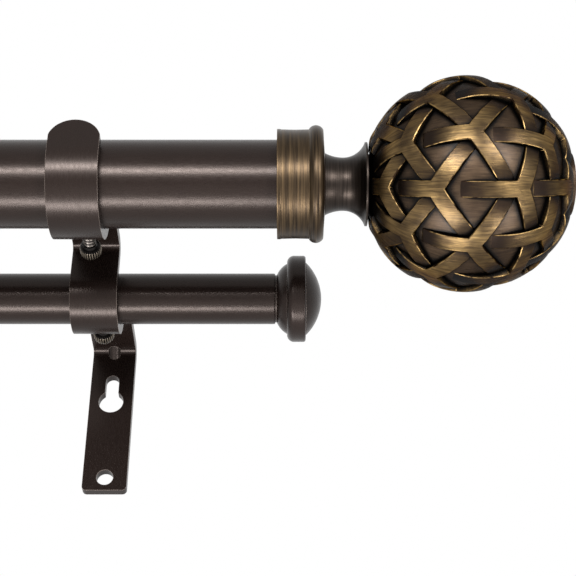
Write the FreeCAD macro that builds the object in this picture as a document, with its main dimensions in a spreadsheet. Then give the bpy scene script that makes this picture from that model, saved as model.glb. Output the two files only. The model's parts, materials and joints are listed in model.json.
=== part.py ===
import FreeCAD, Part
import math
import os
import re
import Sketcher

# Double curtain pole: two folded strip brackets carry a thick front pole and
# a thin back pole. Woven ball finials close the front pole, turned caps close
# the back pole, and each pole is an outer tube with an inner tube inside it.
#
# Frame: +X along the poles to the right, -Y out from the wall, +Z up.
# The origin is the lower screw hole of the right bracket, in the wall plane.

os.makedirs("parts", exist_ok=True)

# Driving sizes in millimetres, or in degrees where the name says angle.
SIZES = {
    # Poles
    "pole_span": 711.2,
    "front_overhang": 65.6,
    "back_overhang": 55.7,
    "front_tube_diameter": 25.4,
    "back_tube_diameter": 15.9,
    "front_tube_wall": 0.8,
    "back_tube_wall": 0.7,
    "telescope_clearance": 0.2,
    "inner_tube_end_gap": 30.0,
    "inner_tube_wall": 0.8,
    "tube_stop_gap": 1.0,
    "tube_edge_round": 0.35,
    # Brackets
    "strip_width": 14.5,
    "strip_thickness": 3.0,
    "plate_length": 53.6,
    "bend_inside_radius": 2.0,
    "front_reach": 103.2,
    "back_reach": 51.3,
    "front_drop": 8.2,
    "back_drop": 11.6,
    "cradle_clearance": 0.3,
    "tongue_rise": 10.0,
    "tongue_end_radius": 7.55,
    "plate_corner_radius": 1.5,
    "keyhole_drop": 20.2,
    "keyhole_diameter": 8.3,
    "keyhole_slot_width": 4.5,
    "keyhole_slot_rise": 10.3,
    "screw_hole_height": 4.7,
    "screw_hole_diameter": 5.5,
    "gusset_width": 4.4,
    "gusset_reach": 3.3,
    "gusset_wall": 2.4,
    "gusset_end_overlap": 0.5,
    # Thumb screws
    "thumb_shank_diameter": 4.0,
    "thumb_head_diameter": 6.6,
    "thumb_head_length": 3.6,
    "front_shank_share": 0.65,
    "back_shank_share": 0.26,
    "thumb_chamfer": 0.4,
    "thumb_thread_clearance": 0.05,
    "thumb_tip_gap": 0.2,
    # Finials
    "collar_depth": 9.0,
    "collar_floor": 4.6,
    "collar_diameter": 31.2,
    "collar_lip_height": 0.12,
    "collar_lip_width": 1.2,
    "collar_lip_flat": 0.84,
    "collar_waist_depth": 0.1,
    "collar_bore_clearance": 0.8,
    "bead_diameter": 33.6,
    "bead_width": 4.1,
    "collar_face_diameter": 29.6,
    "neck_root_diameter": 17.8,
    "neck_waist_diameter": 15.2,
    "neck_waist_place": 5.2,
    "neck_length": 12.0,
    "neck_lip_diameter": 24.0,
    "neck_lip_width": 0.6,
    "neck_lip_step": 0.1,
    "ball_diameter": 61.8,
    "ball_bore_depth": 14.0,
    "stud_diameter": 6.0,
    "stud_hole_clearance": 0.1,
    "stud_end_gap": 1.0,
    "stud_chamfer": 0.6,
    "front_plug_length": 20.0,
    "plug_fit_clearance": 0.05,
    # Woven straps of the ball
    "strap_width": 4.5,
    "strap_height": 1.7,
    "strap_dip": 7.0,
    "strap_root_angle": 48.7,
    "cut_overlap": 1.0,
    "strap_columns": 12,
    "ball_turn_angle": 12.4,
    "stem_start_angle": 10.5,
    "row_1_angle": -55.0,
    "row_2_angle": -38.8,
    "row_3_angle": -22.8,
    "row_4_angle": -2.8,
    "row_5_angle": 21.9,
    "row_6_angle": 38.4,
    "row_7_angle": 60.0,
    "arm_rise_1_angle": 19.0,
    "arm_rise_2_angle": 18.0,
    "arm_rise_3_angle": 22.0,
    "arm_rise_4_angle": 20.0,
    "arm_rise_5_angle": 9.0,
    "arm_rise_6_angle": 8.0,
    "arm_rise_7_angle": 3.0,
    "tip_disc_diameter": 18.0,
    # Back pole caps
    "cap_groove_diameter": 14.8,
    "cap_groove_width": 0.5,
    "cap_shoulder_length": 3.2,
    "cap_shoulder_diameter": 22.0,
    "cap_shoulder_arc_ratio": 1.5,
    "cap_bead_length": 1.9,
    "cap_bead_root_diameter": 22.8,
    "cap_bead_arc_ratio": 0.78,
    "cap_rim_diameter": 27.0,
    "cap_rim_width": 3.9,
    "cap_rim_round": 0.7,
    "cap_step": 0.2,
    "cap_dome_diameter": 22.6,
    "cap_dome_height": 4.7,
    "cap_stud_diameter": 5.0,
    "cap_bore_depth": 8.0,
    "back_plug_length": 16.0,
}

doc = FreeCAD.newDocument("DoubleCurtainPole")
sheet = doc.addObject("Spreadsheet::Sheet", "Sizes")
for row, (alias, number) in enumerate(SIZES.items(), start=1):
    sheet.set(f"A{row}", alias)
    sheet.set(f"B{row}", str(number))
    sheet.setAlias(f"B{row}", alias)
doc.recompute()


def formula(text):
    """Writes size names as references to the sheet."""
    return re.sub(r"[a-z][a-z0-9_]+", lambda word: sheet_name(word.group()), str(text))


def sheet_name(word):
    return f"Sizes.{word}" if word in SIZES else word


def value(text):
    """The number that a formula of size names gives."""
    return float(sheet.evalExpression(formula(text)))


def bind(thing, prop, text):
    thing.setExpression(prop, formula(text))


# Places and sizes that follow from the driving ones
LEFT_END = "(pole_span - front_overhang)"
BRACKET_SPACING = "(pole_span - 2 * front_overhang)"
BACK_LEFT_END = f"({BRACKET_SPACING} + back_overhang)"
BACK_SPAN = f"({BACK_LEFT_END} + back_overhang)"
ARM_HEIGHT = "(plate_length - screw_hole_height)"
FRONT_HEIGHT = f"({ARM_HEIGHT} - front_drop - cradle_clearance)"
BACK_HEIGHT = f"({ARM_HEIGHT} - back_drop - cradle_clearance)"
FRONT_BORE = "(front_tube_diameter / 2 - front_tube_wall)"
BACK_BORE = "(back_tube_diameter / 2 - back_tube_wall)"
FRONT_INNER = f"({FRONT_BORE} - telescope_clearance)"
BACK_INNER = f"({BACK_BORE} - telescope_clearance)"


def new_body(name, x="0", y="0", z="0", turn=0.0):
    """A body at a place given by formulas, turned about the vertical."""
    body = doc.addObject("PartDesign::Body", name)
    body.Label = name
    rotation = FreeCAD.Rotation(FreeCAD.Vector(0, 0, 1), turn)
    body.Placement = FreeCAD.Placement(FreeCAD.Vector(), rotation)
    for axis, text in zip("xyz", (x, y, z)):
        bind(body, f"Placement.Base.{axis}", text)
    return body


def new_sketch(body, plane, name, offset=None):
    """A sketch on one of the body's origin planes, moved along its normal."""
    sketch = body.newObject("Sketcher::SketchObject", name)
    role = f"{plane}_Plane"
    face = [item for item in body.Origin.OriginFeatures if item.Role == role][0]
    sketch.AttachmentSupport = [(face, "")]
    sketch.MapMode = "FlatFace"
    if offset:
        bind(sketch, "AttachmentOffset.Base.z", offset)
    return sketch


def arc_centre(start, end, radius, side):
    """Centre of an arc that turns left for side 1 and right for side -1."""
    chord = end - start
    middle = (start + end) * 0.5
    rise = math.sqrt(radius ** 2 - (chord.Length / 2) ** 2)
    normal = FreeCAD.Vector(-chord.y, chord.x, 0).normalize()
    return middle + normal * rise * side


def add_edge(sketch, start, end, curve):
    """A line or an arc; gives its number and its first and last point."""
    if curve is None:
        return sketch.addGeometry(Part.LineSegment(start, end)), 1, 2
    radius, side = value(curve[0]), curve[1]
    centre = arc_centre(start, end, radius, side)
    first, last = (start, end) if side > 0 else (end, start)
    angles = [math.atan2(p.y - centre.y, p.x - centre.x) for p in (first, last)]
    circle = Part.Circle(centre, FreeCAD.Vector(0, 0, 1), radius)
    number = sketch.addGeometry(Part.ArcOfCircle(circle, *angles))
    constraint = sketch.addConstraint(Sketcher.Constraint("Radius", number, radius))
    bind(sketch, f"Constraints[{constraint}]", curve[0])
    return (number, 1, 2) if side > 0 else (number, 2, 1)


def place_point(sketch, number, end, corner):
    """Ties one end of an edge to the sketch origin by two formulas."""
    for kind, text in zip(("DistanceX", "DistanceY"), corner):
        distance = Sketcher.Constraint(kind, -1, 1, number, end, value(text))
        constraint = sketch.addConstraint(distance)
        bind(sketch, f"Constraints[{constraint}]", text)


def draw(sketch, corners, closed=True):
    """Draws an outline through corners (x, y) or (x, y, radius, side).

    A corner with a radius starts an arc to the next corner.
    """
    points = [FreeCAD.Vector(value(c[0]), value(c[1]), 0) for c in corners]
    count = len(corners) if closed else len(corners) - 1
    edges = []
    for index in range(count):
        following = (index + 1) % len(corners)
        curve = corners[index][2:] or None
        edges.append(add_edge(sketch, points[index], points[following], curve))
    for index, (number, first, last) in enumerate(edges):
        place_point(sketch, number, first, corners[index][:2])
        if index + 1 < count or closed:
            after = edges[(index + 1) % count]
            join = Sketcher.Constraint("Coincident", number, last, after[0], after[1])
            sketch.addConstraint(join)
        else:
            place_point(sketch, number, last, corners[-1][:2])
    return sketch


def draw_circle(sketch, x, y, diameter):
    radius = value(f"({diameter}) / 2")
    centre = FreeCAD.Vector(value(x), value(y), 0)
    circle = Part.Circle(centre, FreeCAD.Vector(0, 0, 1), radius)
    number = sketch.addGeometry(circle)
    constraint = sketch.addConstraint(Sketcher.Constraint("Radius", number, radius))
    bind(sketch, f"Constraints[{constraint}]", f"({diameter}) / 2")
    place_point(sketch, number, 3, (x, y))
    return sketch


def turned(body, corners):
    """A turned piece: the outline (x, radius) revolved about X."""
    sketch = draw(new_sketch(body, "XY", "Outline"), corners)
    turning = body.newObject("PartDesign::Revolution", "Turning")
    turning.Profile = sketch
    turning.ReferenceAxis = (sketch, ["H_Axis"])
    turning.Angle = 360
    doc.recompute()
    return body


def pocket(body, sketch, length, name):
    """Cuts along the sketch's direction into the body."""
    before = body.Shape.Volume
    cut = body.newObject("PartDesign::Pocket", name)
    cut.Profile = sketch
    bind(cut, "Length", length)
    doc.recompute()
    if body.Shape.Volume > before - 1e-3:
        raise RuntimeError(f"{name} removes nothing from {body.Label}")
    return cut


def round_edges(body, radius, name, wanted):
    """Rounds the edges of the body that the test picks."""
    tip = body.Tip
    picked = [f"Edge{i}" for i, edge in enumerate(tip.Shape.Edges, 1) if wanted(edge)]
    fillet = body.newObject("PartDesign::Fillet", name)
    fillet.Base = (tip, picked)
    bind(fillet, "Radius", radius)
    doc.recompute()
    return fillet


# Poles


def tube(name, diameter, wall, length, x, y, z):
    """A drawn tube along X with its two outer end edges eased."""
    body = new_body(name, x, y, z)
    ring = new_sketch(body, "YZ", "Ring")
    draw_circle(ring, "0", "0", diameter)
    draw_circle(ring, "0", "0", f"{diameter} - 2 * {wall}")
    pad = body.newObject("PartDesign::Pad", "Drawing")
    pad.Profile = ring
    bind(pad, "Length", length)
    doc.recompute()
    outer = value(diameter) / 2

    def at_outer_end(edge):
        curve = edge.Curve
        return isinstance(curve, Part.Circle) and abs(curve.Radius - outer) < 1e-4

    round_edges(body, "tube_edge_round", "EasedEnds", at_outer_end)
    return body


FRONT_AXIS = ("-front_reach", FRONT_HEIGHT)
BACK_AXIS = ("-back_reach", BACK_HEIGHT)

tube("front_outer_tube", "front_tube_diameter", "front_tube_wall",
     "pole_span - tube_stop_gap", f"tube_stop_gap - {LEFT_END}", *FRONT_AXIS)
tube("front_inner_tube", f"2 * {FRONT_INNER}", "inner_tube_wall",
     "pole_span - front_plug_length - inner_tube_end_gap", f"-{LEFT_END}", *FRONT_AXIS)
tube("back_outer_tube", "back_tube_diameter", "back_tube_wall",
     f"{BACK_SPAN} - tube_stop_gap",
     f"tube_stop_gap - {BACK_LEFT_END}", *BACK_AXIS)
tube("back_inner_tube", f"2 * {BACK_INNER}", "inner_tube_wall",
     f"{BACK_SPAN} - back_plug_length - inner_tube_end_gap", f"-{BACK_LEFT_END}", *BACK_AXIS)


# Brackets. In a bracket's own frame +Y points out from the wall, and Z is
# counted from the lower end of the wall plate.

MID = "(strip_thickness / 2)"
BEND = f"(bend_inside_radius + {MID})"
ARM_LINE = f"(plate_length + {MID})"


def cradle_radius(diameter):
    """Radius of the strip's middle line under a pole."""
    return f"({diameter} / 2 + cradle_clearance + {MID})"


def cradle_path(reach, drop, diameter):
    """Middle line from the arm down, round under a pole and up again."""
    radius = cradle_radius(diameter)
    centre = f"(plate_length - {drop})"
    back = f"({reach} - {radius})"
    return [
        (f"{back} - {BEND}", ARM_LINE, BEND, -1),
        (back, f"{ARM_LINE} - {BEND}"),
        (back, centre, radius, 1),
        (reach, f"{centre} - {radius}", radius, 1),
        (f"{reach} + {radius}", centre),
    ]


def strip_path():
    """Middle line of the whole strip, from the plate's foot to the tongue."""
    riser = f"(back_reach + {cradle_radius('back_tube_diameter')})"
    tongue = f"(front_reach + {cradle_radius('front_tube_diameter')})"
    wall = [
        (MID, "0"),
        (MID, f"{ARM_LINE} - {BEND}", BEND, -1),
        (f"{MID} + {BEND}", ARM_LINE),
    ]
    riser_bend = [
        (riser, f"{ARM_LINE} - {BEND}", BEND, -1),
        (f"{riser} + {BEND}", ARM_LINE),
    ]
    tongue_end = [(tongue, "plate_length - front_drop + tongue_rise")]
    back_cradle = cradle_path("back_reach", "back_drop", "back_tube_diameter")
    front_cradle = cradle_path("front_reach", "front_drop", "front_tube_diameter")
    return wall + back_cradle + riser_bend + front_cradle + tongue_end


def fold_strip(body):
    """The flat strip, swept along its folded middle line."""
    section = new_sketch(body, "XY", "StripSection")
    draw(section, [
        ("-strip_width / 2", "0"),
        ("strip_width / 2", "0"),
        ("strip_width / 2", "strip_thickness"),
        ("-strip_width / 2", "strip_thickness"),
    ])
    path = draw(new_sketch(body, "YZ", "FoldedPath"), strip_path(), closed=False)
    sweep = body.newObject("PartDesign::AdditivePipe", "FoldedStrip")
    sweep.Profile = section
    sweep.Spine = path
    doc.recompute()


def round_tongue(body):
    """Cuts the strip's front end to an arc."""
    top = "(plate_length - front_drop + tongue_rise)"
    level = f"({top} - tongue_end_radius)"
    sketch = new_sketch(body, "XZ", "TongueEnd", "-front_reach")
    radius = "tongue_end_radius"
    side = "(tongue_end_radius + strip_width)"
    above = f"({top} + strip_width)"
    draw(sketch, [
        (f"-{side}", level),
        (f"-{radius}", level, radius, -1),
        ("0", top, radius, -1),
        (radius, level),
        (side, level),
        (side, above),
        (f"-{side}", above),
    ])
    depth = f"{cradle_radius('front_tube_diameter')} + strip_thickness"
    pocket(body, sketch, depth, "RoundedTongue")


def keyhole(body):
    """A round hole with a narrower slot above it, for a hung screw."""
    centre = "(plate_length - keyhole_drop)"
    half = "(keyhole_slot_width / 2)"
    radius = "(keyhole_diameter / 2)"
    meeting = f"({centre} + sqrt({radius} ^ 2 - {half} ^ 2))"
    slot_top = f"({centre} + keyhole_slot_rise - {half})"
    sketch = draw(new_sketch(body, "XZ", "Keyhole"), [
        (half, meeting),
        (half, slot_top, half, 1),
        ("0", f"{slot_top} + {half}", half, 1),
        (f"-{half}", slot_top),
        (f"-{half}", meeting, radius, 1),
        (f"-{radius}", centre, radius, 1),
        ("0", f"{centre} - {radius}", radius, 1),
        (radius, centre, radius, 1),
    ])
    pocket(body, sketch, "strip_thickness", "KeyholeCut")


def thumb_screw_hole(body, reach, drop, diameter, name):
    """The tapped hole through the leg on the wall side of a pole."""
    leg = f"({reach} - {cradle_radius(diameter)} - {MID})"
    sketch = new_sketch(body, "XZ", name, f"-{leg}")
    hole = "thumb_shank_diameter + 2 * thumb_thread_clearance"
    draw_circle(sketch, "0", f"plate_length - {drop} - cradle_clearance", hole)
    pocket(body, sketch, "(strip_thickness + cradle_clearance)", f"{name}Cut")


def slanted_cylinder(body, kind, name, radius, depth):
    """A cylinder at 45 degrees across the corner of plate and arm.

    Depth is how far its crest lies past the corner's slope, towards the wall.
    """
    cylinder = body.newObject(f"PartDesign::{kind}Cylinder", name)
    slant = FreeCAD.Rotation(FreeCAD.Vector(1, 0, 0), -45)
    cylinder.Placement = FreeCAD.Placement(FreeCAD.Vector(), slant)
    inward = f"(({radius} + {depth}) / sqrt(2))"
    sunk = "(gusset_end_overlap / sqrt(2))"
    bind(cylinder, "Radius", radius)
    bind(cylinder, "Height", "gusset_reach * sqrt(2) + 2 * gusset_end_overlap")
    bind(cylinder, "Placement.Base.y", f"strip_thickness - {inward} - {sunk}")
    bind(cylinder, "Placement.Base.z", f"plate_length - gusset_reach + {inward} - {sunk}")
    doc.recompute()


def gusset(body):
    """The stiffening dimple pressed into the corner of plate and arm."""
    slanted_cylinder(body, "Additive", "Gusset", "(gusset_width / 2)", "0")
    top = "(plate_length + strip_thickness)"
    outside = "(bend_inside_radius + strip_thickness)"
    clear = "(gusset_reach + gusset_width)"
    sketch = draw(new_sketch(body, "YZ", "OuterSkin"), [
        ("0", f"{top} - {clear} - {outside}"),
        ("0", f"{top} - {outside}", outside, -1),
        (outside, top),
        (f"{outside} + {clear}", top),
        (f"{outside} + {clear}", f"{top} + {clear}"),
        (f"-{clear}", f"{top} + {clear}"),
        (f"-{clear}", f"{top} - {clear} - {outside}"),
    ])
    trim = body.newObject("PartDesign::Pocket", "OuterSkinTrim")
    trim.Profile = sketch
    trim.Midplane = True
    bind(trim, "Length", "gusset_width")
    doc.recompute()
    slanted_cylinder(body, "Subtractive", "GussetDent", "(gusset_width / 2)", "gusset_wall")


def bracket(name, x):
    """One bracket, folded from one strip."""
    height = "-screw_hole_height"
    body = new_body(name, x, "0", height, turn=180.0)
    fold_strip(body)
    round_tongue(body)
    gusset(body)

    def plate_corner(edge):
        ends = [vertex.Point for vertex in edge.Vertexes]
        low = all(abs(point.z) < 1e-3 for point in ends)
        across = len(ends) == 2 and abs(ends[0].x - ends[1].x) < 1e-3
        return low and across

    round_edges(body, "plate_corner_radius", "PlateCorners", plate_corner)
    keyhole(body)
    lower = new_sketch(body, "XZ", "ScrewHole")
    draw_circle(lower, "0", "screw_hole_height", "screw_hole_diameter")
    pocket(body, lower, "strip_thickness", "ScrewHoleCut")
    thumb_screw_hole(body, "front_reach", "front_drop", "front_tube_diameter", "FrontTap")
    thumb_screw_hole(body, "back_reach", "back_drop", "back_tube_diameter", "BackTap")
    return body


bracket("bracket_right", "0")
bracket("bracket_left", f"-{BRACKET_SPACING}")


# Thumb screws, tip at the pole and head towards the wall. A shank takes a share
# of what the head leaves of the gap behind its pole. The front pole's gap ends at
# the back cradle and the back pole's at the wall plate. The rest is for fingers.

CRADLE_OUTSIDE = f"({cradle_radius('back_tube_diameter')} + {MID})"
FRONT_GAP = f"(front_reach - front_tube_diameter / 2 - back_reach - {CRADLE_OUTSIDE})"
BACK_GAP = "(back_reach - back_tube_diameter / 2 - strip_thickness)"


def thumb_screw(name, x, reach, height, diameter, gap, share):
    length = f"(({gap} - thumb_tip_gap - thumb_head_length) * {share})"
    tip = f"{diameter} / 2 + thumb_tip_gap - {reach}"
    body = new_body(name, x, tip, height, turn=90.0)
    shank = "(thumb_shank_diameter / 2)"
    head = "(thumb_head_diameter / 2)"
    end = f"({length} + thumb_head_length)"
    return turned(body, [
        ("0", "0"),
        ("0", f"{shank} - thumb_chamfer"),
        ("thumb_chamfer", shank),
        (length, shank),
        (length, f"{head} - thumb_chamfer"),
        (f"{length} + thumb_chamfer", head),
        (f"{end} - thumb_chamfer", head),
        (end, f"{head} - thumb_chamfer"),
        (end, "0"),
    ])


for side, place in (("right", "0"), ("left", f"-{BRACKET_SPACING}")):
    thumb_screw(f"thumb_screw_front_{side}", place, "front_reach", FRONT_HEIGHT,
                "front_tube_diameter", FRONT_GAP, "front_shank_share")
    thumb_screw(f"thumb_screw_back_{side}", place, "back_reach", BACK_HEIGHT,
                "back_tube_diameter", BACK_GAP, "back_shank_share")


# Finials. Each piece has its own frame with +X away from the pole.

STUD_HOLE = "(stud_diameter / 2 + stud_hole_clearance)"
COLLAR_BORE = "(front_tube_diameter / 2 + collar_bore_clearance)"
BALL_RADIUS = "(ball_diameter / 2)"
BALL_SEAT = f"sqrt({BALL_RADIUS} ^ 2 - (neck_lip_diameter / 2) ^ 2)"
FINIAL_LENGTH = f"(collar_floor + neck_length + {BALL_SEAT})"


def outward(along, side):
    """X of a point that lies a distance beyond the front pole's end."""
    if side == "right":
        return f"front_overhang + {along}"
    return f"-{LEFT_END} - ({along})"


def finial_body(name, along, side):
    turn = 0.0 if side == "right" else 180.0
    return new_body(f"{name}_{side}", outward(along, side), *FRONT_AXIS, turn=turn)


def collar(side):
    """The cup that the pole's end stands in, with a bead round its floor."""
    body = finial_body("finial_collar", "(-collar_depth)", side)
    outer = "(collar_diameter / 2)"
    lip = f"({outer} + collar_lip_height)"
    waist = f"({outer} - collar_waist_depth)"
    bead = "(bead_diameter / 2)"
    face = "(collar_face_diameter / 2)"
    bead_end = "(collar_depth + bead_width)"
    bead_radius = f"((bead_width / 2) ^ 2 + ({bead} - {outer}) ^ 2) / (2 * ({bead} - {outer}))"
    half_body = "(collar_depth + collar_lip_width) / 2"
    end = "(collar_depth + collar_floor)"
    return turned(body, [
        ("0", COLLAR_BORE),
        ("0", lip),
        ("collar_lip_flat", lip),
        ("collar_lip_width", outer),
        (half_body, waist),
        ("collar_depth", outer, bead_radius, -1),
        (bead_end, outer),
        (bead_end, face),
        (end, "neck_root_diameter / 2"),
        (end, STUD_HOLE),
        ("collar_depth", STUD_HOLE),
        ("collar_depth", COLLAR_BORE),
    ])


def neck(side):
    """The waisted neck, ending in a small lip under the ball."""
    body = finial_body("finial_neck", "collar_floor", side)
    root = "(neck_root_diameter / 2)"
    waist = "(neck_waist_diameter / 2)"
    lip = "(neck_lip_diameter / 2)"
    root_fall = f"({root} - {waist})"
    root_arc = f"(neck_waist_place ^ 2 + {root_fall} ^ 2) / (2 * {root_fall})"
    lip_start = "(neck_length - neck_lip_width)"
    flare = f"({lip} - neck_lip_step)"
    flare_run = f"({lip_start} - neck_waist_place)"
    flare_rise = f"({flare} - {waist})"
    flare_arc = f"({flare_run} ^ 2 + {flare_rise} ^ 2) / (2 * {flare_rise})"
    return turned(body, [
        ("0", STUD_HOLE),
        ("0", root, root_arc, 1),
        ("neck_waist_place", waist, flare_arc, 1),
        (lip_start, flare),
        (lip_start, lip),
        ("neck_length", lip),
        ("neck_length", STUD_HOLE),
    ])


def stud(name, body, diameter, length):
    radius = f"({diameter} / 2)"
    return turned(body, [
        ("0", "0"),
        ("0", f"{radius} - stud_chamfer"),
        ("stud_chamfer", radius),
        (f"{length} - stud_chamfer", radius),
        (length, f"{radius} - stud_chamfer"),
        (length, "0"),
    ])


def plug(body, radius, hole, length):
    """The plug fixed in a tube's end, drilled for the stud."""
    return turned(body, [
        ("0", hole),
        ("0", f"{radius} - stud_chamfer"),
        ("stud_chamfer", radius),
        (length, radius),
        (length, hole),
    ])


# The woven ball. Y-shaped straps stand in seven rows round the pole's axis,
# each row turned one column from the one before. A row's angle is the
# latitude of its forks, from the neck to the tip. A strap is highest at its
# fork and dips towards its three ends, so that each end passes under the
# strap it meets. A stem starts just past the fork before it in its column.

ROWS = range(1, 8)
RIGHT_ANGLE = 90.0


def ball_point(latitude, azimuth):
    """Unit direction from the ball's centre; latitude runs towards +X."""
    low, turn = math.radians(latitude), math.radians(azimuth)
    ring = math.cos(low)
    return FreeCAD.Vector(math.sin(low), ring * math.sin(turn), ring * math.cos(turn))


def fork_corner(one, other, half):
    """Where the near edges of two strips from the origin cross."""
    spread = abs(one[0] * other[1] - one[1] * other[0])
    return tuple((a + b) * half / spread for a, b in zip(one, other))


def strip_end(direction, length, half):
    """The two end corners of a strip, right-hand one first."""
    along = (direction[0] * length, direction[1] * length)
    across = (-direction[1] * half, direction[0] * half)
    right = (along[0] - across[0], along[1] - across[1])
    left = (along[0] + across[0], along[1] + across[1])
    return [right, left]


def strap_outline(fork, stem_start, arm_rise):
    """Corners of a strap in the plane that touches the ball at its fork."""
    radius = value(BALL_RADIUS)
    half = value("strap_width") / 2
    column = 360.0 / value("strap_columns")
    target = ball_point(fork + arm_rise, column)
    along = ball_point(fork + RIGHT_ANGLE, 0.0)
    run, rise = target.dot(along) * radius, target.y * radius
    arm_length = math.hypot(run, rise)
    left_arm = (run / arm_length, rise / arm_length)
    right_arm = (left_arm[0], -left_arm[1])
    stem = (-1.0, 0.0)
    stem_length = radius * math.sin(math.radians(fork - stem_start))
    corners = strip_end(stem, stem_length, half)
    corners.append(fork_corner(stem, right_arm, half))
    corners += strip_end(right_arm, arm_length, half)
    corners.append(fork_corner(right_arm, left_arm, half))
    corners += strip_end(left_arm, arm_length, half)
    corners.append(fork_corner(left_arm, stem, half))
    return corners


def strap(fork, stem_start, arm_rise):
    """One strap, standing in the ball and cut to its dipping outer face."""
    radius = value(BALL_RADIUS)
    foot = radius * math.cos(math.radians(value("strap_root_angle")))
    out = ball_point(fork, 0.0)
    along = ball_point(fork + RIGHT_ANGLE, 0.0)
    across = FreeCAD.Vector(0, 1, 0)
    corners = [out * foot + along * u + across * v
               for u, v in strap_outline(fork, stem_start, arm_rise)]
    face = Part.Face(Part.makePolygon(corners + corners[:1]))
    block = face.extrude(out * (radius - foot + value("cut_overlap")))
    dip = value("strap_dip")
    return block.common(Part.makeSphere(radius - dip, out * dip))


def round_the_axis(shape, first_angle, count):
    """Copies of a shape turned about X in equal steps."""
    copies = []
    for index in range(count):
        copy = shape.copy()
        angle = first_angle + index * 360.0 / count
        copy.rotate(FreeCAD.Vector(), FreeCAD.Vector(1, 0, 0), angle)
        copies.append(copy)
    return copies


def woven_ball():
    """Core ball, straps and tip disc as one casting, with its seat and bore."""
    radius = value(BALL_RADIUS)
    axis = FreeCAD.Vector(1, 0, 0)
    core = Part.makeSphere(radius - value("strap_height"), FreeCAD.Vector(), axis)
    pairs = int(value("strap_columns")) // 2
    column = 180.0 / pairs
    forks = [value(f"row_{row}_angle") for row in ROWS]
    neck_angle = -math.degrees(math.asin(value(BALL_SEAT) / radius))
    before = [neck_angle, neck_angle] + [fork + value("stem_start_angle") for fork in forks]
    straps = []
    for row, fork, stem_start in zip(ROWS, forks, before):
        piece = strap(fork, stem_start, value(f"arm_rise_{row}_angle"))
        turn = value("ball_turn_angle") + column * (row % 2 - 1)
        straps += round_the_axis(piece, turn, pairs)
    disc_radius = value("tip_disc_diameter") / 2
    disc = Part.makeCylinder(disc_radius, radius, FreeCAD.Vector(radius / 2, 0, 0), axis)
    disc = disc.common(Part.makeSphere(radius, FreeCAD.Vector(), axis))
    ball = core.multiFuse(straps + [disc])
    seat = value(BALL_SEAT)
    hole = value(STUD_HOLE)
    cut = Part.makeCylinder(radius, radius, FreeCAD.Vector(-seat - radius, 0, 0), axis)
    overlap = value("cut_overlap")
    start = FreeCAD.Vector(-seat - overlap, 0, 0)
    bore = Part.makeCylinder(hole, value("ball_bore_depth") + overlap, start, axis)
    return ball.cut([cut, bore])


def ball_node(shape, side):
    node = doc.addObject("Part::Feature", f"finial_ball_{side}")
    node.Label = f"finial_ball_{side}"
    node.Shape = shape
    turn = 0.0 if side == "right" else 180.0
    rotation = FreeCAD.Rotation(FreeCAD.Vector(0, 0, 1), turn)
    node.Placement = FreeCAD.Placement(FreeCAD.Vector(), rotation)
    places = (outward(FINIAL_LENGTH, side), *FRONT_AXIS)
    for axis, text in zip("xyz", places):
        bind(node, f"Placement.Base.{axis}", text)


ball_shape = woven_ball()
for side in ("right", "left"):
    collar(side)
    neck(side)
    ball_node(ball_shape, side)
    stud_start = "(stud_end_gap - front_plug_length)"
    reach = "(collar_floor + neck_length + ball_bore_depth - stud_end_gap)"
    stud(f"finial_stud_{side}", finial_body("finial_stud", stud_start, side),
         "stud_diameter", f"({reach} - {stud_start})")

for side, bore in (("right", FRONT_BORE), ("left", f"({FRONT_INNER} - inner_tube_wall)")):
    body = finial_body("front_plug", "(-front_plug_length)", side)
    plug(body, f"({bore} - plug_fit_clearance)", STUD_HOLE, "front_plug_length")


# Back pole caps

CAP_HOLE = "(cap_stud_diameter / 2 + stud_hole_clearance)"


def back_body(name, along, side):
    """A piece on the back pole's end, +X away from the pole."""
    right = side == "right"
    x = f"back_overhang + {along}" if right else f"-{BACK_LEFT_END} - ({along})"
    return new_body(f"{name}_{side}", x, *BACK_AXIS, turn=0.0 if right else 180.0)


def bulge(length, start, end, ratio):
    """Radius of an arc, as a share of the chord between two radii of a turned piece."""
    return f"(({length} ^ 2 + ({end} - {start}) ^ 2) ^ 0.5 * {ratio})"


def end_cap(side):
    """The turned cap: groove, round shoulder, bead, rim and low dome."""
    body = back_body("end_cap", "0", side)
    groove = "(cap_groove_diameter / 2)"
    shoulder = "(cap_shoulder_diameter / 2)"
    root = "(cap_bead_root_diameter / 2)"
    rim = "(cap_rim_diameter / 2)"
    dome = "(cap_dome_diameter / 2)"
    shoulder_arc = bulge("cap_shoulder_length", groove, shoulder, "cap_shoulder_arc_ratio")
    shoulder_end = "(cap_groove_width + cap_shoulder_length)"
    bead_arc = bulge("cap_bead_length", root, rim, "cap_bead_arc_ratio")
    rim_start = f"({shoulder_end} + cap_bead_length)"
    rim_end = f"({rim_start} + cap_rim_width)"
    dome_start = f"({rim_end} + cap_step)"
    dome_arc = f"({dome} ^ 2 + cap_dome_height ^ 2) / (2 * cap_dome_height)"
    dome_end = f"({dome_start} + cap_dome_height)"
    return turned(body, [
        ("0", CAP_HOLE),
        ("0", groove),
        ("cap_groove_width", groove, shoulder_arc, -1),
        (shoulder_end, shoulder),
        (shoulder_end, root, bead_arc, -1),
        (rim_start, rim),
        (f"{rim_end} - cap_rim_round", rim, "cap_rim_round", -1),
        (rim_end, f"{rim} - cap_rim_round"),
        (rim_end, dome),
        (dome_start, dome, dome_arc, -1),
        (dome_end, "0"),
        ("cap_bore_depth", "0"),
        ("cap_bore_depth", CAP_HOLE),
    ])


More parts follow.
